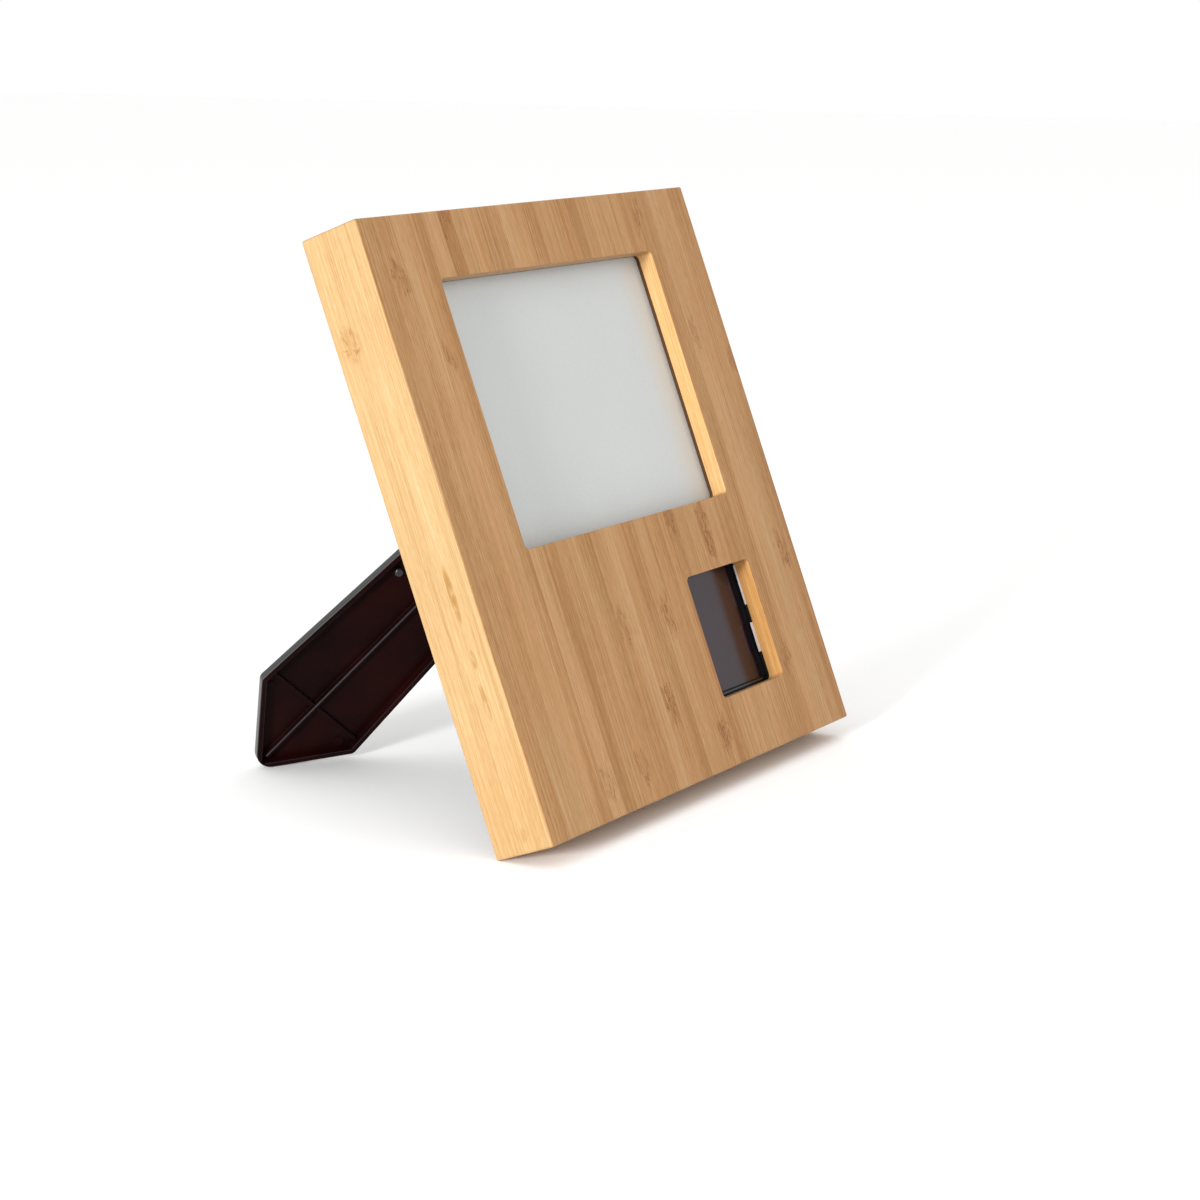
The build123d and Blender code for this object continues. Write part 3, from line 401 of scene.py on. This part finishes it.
    def node_band(self):
        """1 in the middle of a slat's culm node, falling to 0 around it."""
        wander = self.spread(self.stretched(self.mm, (0.30, 0.10, 0.05)), -5.0, 5.0)
        height = self.span(self.node_height, 0, 1, NODE_LOWEST, NODE_HIGHEST)
        from_node = self.math("ADD", self.math("SUBTRACT", self.z, height), wander)
        reach = self.span(self.node_strength, 0.2, 1.0, 5.0, 11.0)
        ragged = self.spread(self.stretched(self.mm, (0.45, 0.45, 0.25)), -1.6, 1.6)
        band = self.ellipse(self.math("ADD", self.offset, ragged), from_node, 0.0, 0.0, 4.3, reach)
        band = self.math("MULTIPLY", band, self.math("MULTIPLY", self.node_strength, 1.7), clamp=True)
        return self.math("MULTIPLY", band, self.math("SUBTRACT", 1.0, self.outer_face))

    def add_culm_nodes(self):
        """Culm nodes: short curled streaks and a darker cast in a band across the slat."""
        side_band = self.math("MULTIPLY", self.ellipse(self.y, self.z, *SIDE_NODE[:4]), self.left_face)
        band = self.math("MAXIMUM", self.node_band(), self.math("MULTIPLY", side_band, SIDE_NODE[4]))
        curl = self.stretched(self.mm, (0.66, 0.46, 0.19), distortion=0.8)
        shade = self.math("MULTIPLY", band, self.span(curl, 0.36, 0.60, 0.30, 0.90))
        self.cast(shade, (0.78, 0.69, 0.56))
        off_line = self.math("ABSOLUTE", self.math("SUBTRACT", curl, 0.48))
        lines = self.span(off_line, 0.01, 0.05, 1.0, 0.0, smooth=True)
        self.cast(self.math("MULTIPLY", band, lines), (0.68, 0.53, 0.38))
        off_glint = self.math("ABSOLUTE", self.math("SUBTRACT", curl, 0.57))
        glints = self.span(off_glint, 0.0, 0.035, 0.8, 0.0, smooth=True)
        self.cast(self.math("MULTIPLY", band, glints), (1.22, 1.28, 1.32))

    def add_side_stains(self):
        """The left-hand outer face has marks of its own."""
        ragged = self.stretched(self.mm, (0.0, 0.5, 0.16), detail=2.0)
        ragged = self.span(ragged, 0.35, 0.55, 0.25, 1.0)
        for *outline, strength in SIDE_STAINS:
            spot = self.math("MULTIPLY", self.ellipse(self.y, self.z, *outline), ragged)
            amount = self.math("MULTIPLY", spot, self.math("MULTIPLY", self.left_face, strength))
            self.cast(amount, (0.72, 0.60, 0.33))

    def add_cut_ends(self):
        """Bundles of fibres show as dark dots, closer together towards one face of the slat."""
        dots = self.cells(self.join(self.x, self.math("MULTIPLY", self.y, 0.8), 0.0), 2.0)
        crowd = self.span(self.offset, -3.5, 3.5, 0.16, 0.40)
        dot = self.span(self.math("SUBTRACT", dots, crowd), -0.08, 0.04, 1.0, 0.0)
        ends = self.mix(self.math("MULTIPLY", dot, 0.75), (0.42, 0.24, 0.11), (0.15, 0.065, 0.024))
        self.base = self.mix(self.span(self.facing(UP), 0.80, 0.95), self.base, ends)


def bamboo():
    g = Bamboo()
    g.add_fibres()
    g.add_warmth()
    g.paint_fibre_glints()
    g.paint_light_across()
    g.add_culm_nodes()
    g.add_side_stains()
    g.add_cut_ends()
    g.colour(g.base)
    g.roughness(g.spread(g.fibre, 0.44, 0.58))
    relief = g.math("ADD", g.math("MULTIPLY", g.fine, 0.6), g.math("MULTIPLY", g.fibre, 0.4))
    g.bump(relief, 0.05, 0.6)
    return g.material


# ---- Screens ----
def panel_face():
    """Pale satin screen surface."""
    g = Graph("picture_panel", Specular_IOR_Level=0.7)
    mm = g.millimetres()
    haze = g.noise(mm, 0.03, 2.0)
    grit = g.noise(mm, 9.0, 2.0)
    g.colour(g.mix(g.spread(haze), (0.505, 0.523, 0.515), (0.524, 0.540, 0.531)))
    g.roughness(g.spread(grit, 0.24, 0.30))
    g.bump(grit, 0.01, 0.4)
    return g.material


def smoked_glass():
    g = Graph("smoked_glass", Specular_IOR_Level=0.5, Specular_Tint=(1.0, 0.84, 0.94, 1))
    mm = g.millimetres()
    smear = g.stretched(mm, (0.1, 0.03, 0.1), detail=3.0)
    g.colour(g.mix(g.spread(smear), (0.011, 0.004, 0.007), (0.015, 0.005, 0.010)))
    g.roughness(g.spread(smear, 0.17, 0.21))
    g.bump(smear, 0.004, 0.3)
    return g.material


# ---- Plastics ----
def moulded(name, dark, light, rough, grain_per_mm, depth_mm, **sockets):
    """Moulded plastic with a fine skin, slight mottling and handling marks."""
    g = Graph(name, **sockets)
    mm = g.millimetres()
    skin = g.noise(mm, grain_per_mm, 2.0, 0.6)
    mottle = g.noise(mm, 0.07, 3.0)
    g.colour(g.mix(g.spread(mottle), dark, light))
    wear = g.math("ADD", g.spread(mottle, -0.04, 0.04), g.spread(skin, -0.03, 0.03))
    g.roughness(g.math("ADD", wear, rough))
    g.bump(skin, depth_mm, 0.8)
    return g.material


# Heights in mm from the hinge pin into the strut's tray, where one finish gives way to the next.
OUTSIDE_TO_TRAY = (0.2, 0.6)
FLOOR_TO_RIB = (1.1, 1.3)
FLOOR_TO_STUD = (1.2, 1.5)
RIB_TO_TOP = (2.2, 2.6)
TOP_TO_RIM = (3.9, 4.1)
# Where the strut shines: a line on the rib, mm from the strut's middle line, and two studs, whose
# middles are so far from that line and so far from the pin.
RIB_LINE = 0.25
STUD_MIDDLE = (14.6, 76.0)
STUD_REACH = 3.0


def strut_plastic():
    """Black styrene: glossy outside and on two studs, dull inside the tray, where its colour is painted
    reddish brown as a painted warm reflection.
    """
    g = Graph("strut_plastic")
    mm = g.millimetres()
    skin = g.noise(mm, 1.6, 2.0, 0.6)
    mottle = g.noise(mm, 0.03, 3.0)
    rubbed = g.noise(mm, 0.5, 3.0, 0.6)
    pin, axis = Vector(HINGE["pos_m"]), Vector(HINGE["axis"])
    height = g.along(pin, STRUT_FLOOR)
    across = g.along(pin, axis)
    down = g.math("ABSOLUTE", g.along(pin, axis.cross(STRUT_FLOOR)))
    off_middle = g.math("ABSOLUTE", across)
    in_tray = g.span(height, *OUTSIDE_TO_TRAY)
    rim = g.span(height, *TOP_TO_RIM)

    # The floor, the walls' inner faces, the rim and the long rib are dull.
    flat = g.math("MULTIPLY", g.span(g.facing(STRUT_FLOOR), 0.95, 0.995), in_tray)
    inward = g.math("MULTIPLY", g.towards(axis), g.math("SIGN", across))
    wall = g.math("MULTIPLY", g.span(inward, -0.5, -0.3, 1.0, 0.0), in_tray)
    rib = g.math("MULTIPLY", g.span(off_middle, 0.9, 1.1, 1.0, 0.0), g.span(height, *FLOOR_TO_RIB))
    dull = g.math("MAXIMUM", g.math("MAXIMUM", flat, wall), rib)

    # The rib's top catches the light in a thin line, and so does each stud.
    rib_top = g.math("SUBTRACT", g.span(height, *RIB_TO_TOP), rim)
    off_line = g.math("ABSOLUTE", g.math("SUBTRACT", across, RIB_LINE))
    line = g.math("MULTIPLY", g.span(off_line, 0.15, 0.40, 1.0, 0.0), rib_top)
    stud = g.ellipse(off_middle, down, *STUD_MIDDLE, STUD_REACH, STUD_REACH)
    lit = g.math("MAXIMUM", line, g.math("MULTIPLY", stud, g.span(height, *FLOOR_TO_STUD)))
    dull = g.math("MULTIPLY", dull, g.math("SUBTRACT", 1.0, lit))

    # Painted reflection: the tray's dark colour is tinted reddish brown, as warm light reflected into it.
    tray = g.mix(g.span(mottle, 0.35, 0.65), (0.0042, 0.0013, 0.0012), (0.0150, 0.0028, 0.0025))
    side = g.mix(g.spread(mottle), (0.0100, 0.0105, 0.0110), (0.0150, 0.0155, 0.0160))
    g.colour(g.mix(dull, side, tray))
    gloss = g.math("ADD", g.span(dull, 0.0, 1.0, 0.52, 0.05), g.math("MULTIPLY", lit, 0.45))
    g.link(gloss, g.shader.inputs["Specular IOR Level"])
    rough = g.math("MAXIMUM", g.span(dull, 0.0, 1.0, 0.24, 0.34), g.span(rim, 0.0, 1.0, 0.0, 0.42))
    g.roughness(g.math("ADD", g.spread(rubbed, -0.04, 0.04), rough))
    g.bump(skin, 0.02, 0.8)
    return g.material


# The small screen's bezel has a polished bead in front of this depth, in mm behind the front face.
BEAD_TO_LEDGE = (7.32, 7.42)


def bezel_plastic():
    """Black plastic whose bead is polished and whose ledge is dull."""
    g = Graph("status_bezel")
    depth = g.split(g.block_axes())[1]
    skin = g.noise(g.millimetres(), 3.0, 2.0, 0.6)
    bead = g.span(depth, *BEAD_TO_LEDGE, 1.0, 0.0)
    g.colour(g.mix(g.spread(skin), (0.006, 0.006, 0.007), (0.011, 0.011, 0.012)))
    g.link(g.span(bead, 0.0, 1.0, 0.12, 0.6), g.shader.inputs["Specular IOR Level"])
    g.roughness(g.math("ADD", g.spread(skin, -0.03, 0.03), g.span(bead, 0.0, 1.0, 0.38, 0.18)))
    g.bump(skin, 0.02, 0.8)
    return g.material


def foam(name, dark, light):
    g = Graph(name, Specular_IOR_Level=0.2)
    mm = g.millimetres()
    pores = g.cells(mm, 4.0)
    g.colour(g.mix(g.span(pores, 0.1, 0.6), dark, light))
    g.roughness(g.span(pores, 0.1, 0.6, 0.98, 0.85))
    g.bump(pores, 0.12, 0.8)
    return g.material


# ---- Metals ----
def brushed_metal(name, dark, light, along):
    """Rolled sheet with fine lines along one axis: 0, 1 or 2."""
    g = Graph(name, Metallic=1.0)
    stretch = [6.0, 6.0, 6.0]
    stretch[along] = 0.08
    lines = g.noise(g.millimetres(stretch), 1.0, 3.0, 0.6)
    stain = g.noise(g.millimetres(), 0.05, 2.0)
    g.colour(g.mix(g.span(g.math("ADD", lines, stain), 0.7, 1.3), dark, light))
    g.roughness(g.spread(lines, 0.24, 0.40))
    g.bump(lines, 0.02, 0.5)
    return g.material


def plated(name, dark, light, rough):
    """Plated fastener or pressing, with a faint crystal mottle."""
    g = Graph(name, Metallic=1.0)
    mm = g.millimetres()
    crystal = g.cells(mm, 1.2, output="Color")
    mottle = g.noise(mm, 0.8, 3.0)
    tone = g.math("ADD", g.math("MULTIPLY", g.split(crystal)[0], 0.3), g.math("MULTIPLY", mottle, 0.7))
    g.colour(g.mix(g.span(tone, 0.25, 0.75), dark, light))
    g.roughness(g.spread(mottle, rough - 0.06, rough + 0.08))
    g.bump(mottle, 0.02, 0.5)
    return g.material


# ---- Electronics ----
def circuit_board():
    """Green lacquer over copper tracks, with tinned pads."""
    g = Graph("circuit_board", Specular_IOR_Level=0.5)
    x, _, z = g.split(g.block_axes())
    flat = g.join(x, z, 0.0)
    weave = g.noise(flat, 3.0, 2.0)
    maze = g.cells(flat, 0.33, "DISTANCE_TO_EDGE", 0.35)
    tracks = g.span(maze, 0.05, 0.075, 1.0, 0.0)
    pads = g.span(g.cells(flat, 0.42, randomness=0.6), 0.16, 0.20, 1.0, 0.0)
    green = g.mix(g.spread(weave), (0.010, 0.085, 0.030), (0.016, 0.115, 0.042))
    green = g.mix(g.math("MULTIPLY", tracks, 0.7), green, (0.035, 0.20, 0.065))
    g.colour(g.mix(g.math("MULTIPLY", pads, 0.9), green, (0.62, 0.60, 0.54)))
    g.roughness(g.spread(weave, 0.28, 0.40))
    g.bump(g.math("ADD", tracks, pads), 0.04, 0.6)
    return g.material


def flat_cable():
    """Amber film over copper strips, one to a millimetre."""
    g = Graph("flat_cable", Specular_IOR_Level=0.5)
    across = g.math("ADD", g.split(g.block_axes())[0], HALF_WIDTH / MM)
    off_strip = g.math("ABSOLUTE", g.math("SUBTRACT", g.math("FRACT", across), 0.5))
    strip = g.span(off_strip, 0.22, 0.28, 1.0, 0.0)
    haze = g.noise(g.millimetres(), 0.4, 2.0)
    film = g.mix(g.spread(haze), (0.36, 0.15, 0.025), (0.44, 0.20, 0.035))
    g.colour(g.mix(g.math("MULTIPLY", strip, 0.8), film, (0.60, 0.31, 0.11)))
    g.roughness(g.spread(haze, 0.22, 0.34))
    g.bump(strip, 0.03, 0.5)
    return g.material


def battery_foil():
    """Crinkled silver pouch."""
    g = Graph("battery_foil", Metallic=0.7)
    mm = g.millimetres()
    crinkle = g.noise(mm, 0.22, 4.0, 0.6, 0.8)
    weave = g.noise(mm, 2.5, 2.0)
    g.colour(g.mix(g.spread(crinkle), (0.42, 0.43, 0.45), (0.62, 0.63, 0.65)))
    g.roughness(g.spread(crinkle, 0.30, 0.45))
    g.bump(g.math("ADD", crinkle, g.math("MULTIPLY", weave, 0.15)), 0.35, 0.6)
    return g.material


# The battery's red lead runs to the left of this place and its black one to the right, mm across.
BETWEEN_LEADS = -27.0


def wire_skin():
    """The two battery leads, one red and one black."""
    g = Graph("wire_insulation", Specular_IOR_Level=0.45)
    across = g.split(g.block_axes())[0]
    haze = g.noise(g.millimetres(), 1.2, 3.0)
    red = g.mix(g.spread(haze), (0.42, 0.020, 0.018), (0.56, 0.035, 0.03))
    black = g.mix(g.spread(haze), (0.012, 0.012, 0.013), (0.03, 0.03, 0.031))
    g.colour(g.mix(g.math("GREATER_THAN", across, BETWEEN_LEADS), red, black))
    g.roughness(g.spread(haze, 0.35, 0.48))
    g.bump(haze, 0.03, 0.5)
    return g.material


def floor_paper():
    g = Graph("studio_paper", Specular_IOR_Level=0.1)
    mm = g.millimetres()
    tooth = g.noise(mm, 0.8, 3.0)
    g.colour(g.mix(g.spread(tooth), (0.975, 0.975, 0.972), (0.995, 0.995, 0.992)))
    g.roughness(g.spread(tooth, 0.88, 0.96))
    g.bump(tooth, 0.05, 0.3)
    return g.material


# ---- Which CAD node has which finish ----
def paint(material, *names):
    for name in names:
        for slot in NODES[name].material_slots:
            slot.material = material


def paint_front():
    """The block and what shows in its windows."""
    paint(bamboo(), "bamboo_frame")
    paint(panel_face(), "picture_screen")
    paint(smoked_glass(), "status_glass")
    # Painted shadow: the gasket is coloured dark warm brown, as the shade in the gap along the wood's edge.
    paint(foam("gasket_painted_shadow", (0.040, 0.018, 0.007), (0.090, 0.042, 0.018)), "screen_gasket")
    paint(bezel_plastic(), "status_bezel")


def paint_plastics():
    keys = [name for name in NODES if name.startswith("key_")]
    plungers = [name for name in NODES if name.startswith("plunger_")]
    paint(strut_plastic(), "strut")
    satin = moulded(
        "cover_plastic", (0.018, 0.018, 0.019), (0.026, 0.026, 0.027),
        rough=0.50, grain_per_mm=2.6, depth_mm=0.06, Specular_IOR_Level=0.45,
    )
    paint(satin, "back_cover")
    dark = moulded(
        "switch_plastic", (0.008, 0.008, 0.009), (0.014, 0.014, 0.015),
        rough=0.34, grain_per_mm=3.0, depth_mm=0.03, Specular_IOR_Level=0.5,
    )
    paint(dark, "power_housing", "tact_switches", "battery_connector")
    soft = moulded(
        "key_plastic", (0.030, 0.030, 0.032), (0.042, 0.042, 0.044),
        rough=0.42, grain_per_mm=3.4, depth_mm=0.03, Specular_IOR_Level=0.45,
    )
    paint(soft, "power_knob", *keys)
    white = moulded(
        "white_plastic", (0.66, 0.66, 0.63), (0.74, 0.74, 0.71),
        rough=0.35, grain_per_mm=2.0, depth_mm=0.02, Specular_IOR_Level=0.5,
    )
    paint(white, "light_guide", "status_diffuser", "screen_connector", "power_lever", *plungers)
    chip = moulded(
        "chip_resin", (0.014, 0.014, 0.015), (0.024, 0.024, 0.024),
        rough=0.60, grain_per_mm=5.0, depth_mm=0.03, Specular_IOR_Level=0.4,
    )
    paint(chip, "main_chips", "status_driver")


def paint_metals():
    paint(brushed_metal("tray_steel", (0.55, 0.56, 0.57), (0.74, 0.75, 0.76), along=0), "screen_tray")
    zinc = moulded(
        "matt_zinc", (0.62, 0.59, 0.60), (0.80, 0.77, 0.78),
        rough=0.50, grain_per_mm=2.4, depth_mm=0.02, Metallic=0.25, Specular_IOR_Level=0.6,
    )
    paint(zinc, "status_metal_frame")
    socket = brushed_metal("socket_steel", (0.60, 0.60, 0.60), (0.78, 0.78, 0.77), along=0)
    paint(socket, "card_socket", "usb_socket")
    steel = plated("plated_steel", (0.50, 0.50, 0.50), (0.70, 0.70, 0.69), rough=0.30)
    paint(steel, "clip_screws", "screen_clips", "status_screws", "board_screws", "hinge_backing", "hinge_pin")
    hanger = plated("hanger_steel", (0.30, 0.30, 0.31), (0.40, 0.40, 0.41), rough=0.36)
    paint(hanger, "hanger_plates", "hanger_screws")
    blackened = plated("blackened_steel", (0.030, 0.030, 0.032), (0.044, 0.044, 0.046), rough=0.34)
    paint(blackened, "cover_screws", "hinge_screws")
    bracket = moulded(
        "bracket_coat", (0.020, 0.020, 0.021), (0.028, 0.028, 0.029),
        rough=0.40, grain_per_mm=4.0, depth_mm=0.03, Specular_IOR_Level=0.5,
    )
    paint(bracket, "hinge_bracket")


def paint_electronics():
    paint(circuit_board(), "main_board", "button_board", "status_board")
    paint(flat_cable(), "screen_cable", "status_cable", "button_cable")
    paint(battery_foil(), "battery_pack")
    paint(foam("tape_foam", (0.010, 0.010, 0.011), (0.035, 0.034, 0.036)), "battery_tape")
    paint(wire_skin(), "battery_wires")


# ---- Signs on the keys ----
# Outlines in mm from the middle of the key: towards the front's right-hand side, and up.
SIGNS = {
    "menu": [
        [(-1.4, low), (1.4, low), (1.4, low + 0.4), (-1.4, low + 0.4)] for low in (-1.1, -0.2, 0.7)
    ],
    "previous": [
        [(-1.5, -1.1), (-1.15, -1.1), (-1.15, 1.1), (-1.5, 1.1)],
        [(-0.95, 0.0), (0.95, -1.1), (0.95, 1.1)],
    ],
    "next": [
        [(1.15, -1.1), (1.5, -1.1), (1.5, 1.1), (1.15, 1.1)],
        [(-0.95, -1.1), (0.95, 0.0), (-0.95, 1.1)],
    ],
    "play": [
        [(0.1, 0.0), (1.7, -1.0), (1.7, 1.0)],
        [(-0.7, -1.0), (-0.35, -1.0), (-0.35, 1.0), (-0.7, 1.0)],
        [(-1.4, -1.0), (-1.05, -1.0), (-1.05, 1.0), (-1.4, 1.0)],
    ],
}
# A sign stands so far above the key's dish, and is so thick, in mm.
SIGN_ABOVE = 0.08
SIGN_THICK = 0.20
# The dish: the radius of its sphere, and how far its middle lies under the key's rim, in mm.
DISH_RADIUS = 15.0
DISH_DEPTH = 0.4


def rim_middle(name):
    """Middle of a key's rim, in the row frame."""
    node = NODES[name]
    points = [node.matrix_world @ vertex.co for vertex in node.data.vertices]
    top = max(point.dot(BACK) for point in points)
    rim = [point for point in points if point.dot(BACK) > top - 0.1 * MM]
    middle = BACK * top
    for direction in (ACROSS, UP):
        reaches = [point.dot(direction) for point in rim]
        middle += direction * (min(reaches) + max(reaches)) / 2
    return middle


def add_sign(key, outlines, material):
    """A raised sign that follows the key's dish."""
    shape = bmesh.new()
    for outline in outlines:
        shape.faces.new([shape.verts.new((u, v, SIGN_ABOVE)) for u, v in outline])
    bmesh.ops.triangulate(shape, faces=shape.faces)
    bmesh.ops.subdivide_edges(shape, edges=shape.edges, cuts=3, use_grid_fill=True)
    under = bmesh.ops.extrude_face_region(shape, geom=shape.faces[:])["geom"]
    for item in under:
        if isinstance(item, bmesh.types.BMVert):
            item.co.z -= SIGN_THICK
    middle = rim_middle("key_" + key)
    for vertex in shape.verts:
        u, v, height = vertex.co
        depth = (u * u + v * v) / (2 * DISH_RADIUS) - DISH_DEPTH + height
        vertex.co = middle + (ACROSS * u + UP * v + BACK * depth) * MM
    bmesh.ops.recalc_face_normals(shape, faces=shape.faces)
    mesh = bpy.data.meshes.new("sign_" + key)
    shape.to_mesh(mesh)
    shape.free()
    sign = bpy.data.objects.new("sign_" + key, mesh)
    bpy.context.scene.collection.objects.link(sign)
    mesh.materials.append(material)
    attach(sign, "button_" + key)


def add_signs():
    ink = moulded(
        "sign_ink", (0.50, 0.50, 0.49), (0.60, 0.60, 0.59),
        rough=0.45, grain_per_mm=4.0, depth_mm=0.02, Specular_IOR_Level=0.4,
    )
    for key, outlines in SIGNS.items():
        add_sign(key, outlines, ink)


# ---- Floor ----
# Half the floor's size, in metres.
FLOOR_HALF = 6.0


def add_floor():
    mesh = bpy.data.meshes.new("studio_floor")
    shape = bmesh.new()
    bmesh.ops.create_grid(shape, x_segments=8, y_segments=8, size=FLOOR_HALF)
    shape.to_mesh(mesh)
    shape.free()
    floor = bpy.data.objects.new("studio_floor", mesh)
    bpy.context.scene.collection.objects.link(floor)
    mesh.materials.append(floor_paper())


bpy.context.scene.view_settings.view_transform = "Standard"
add_camera()
add_world()
add_softbox("key", direction=(-0.975, -0.085, 0.190), distance=2.2, size=0.36, watts=53.0)
paint_front()
paint_plastics()
paint_metals()
paint_electronics()
add_signs()
add_floor()
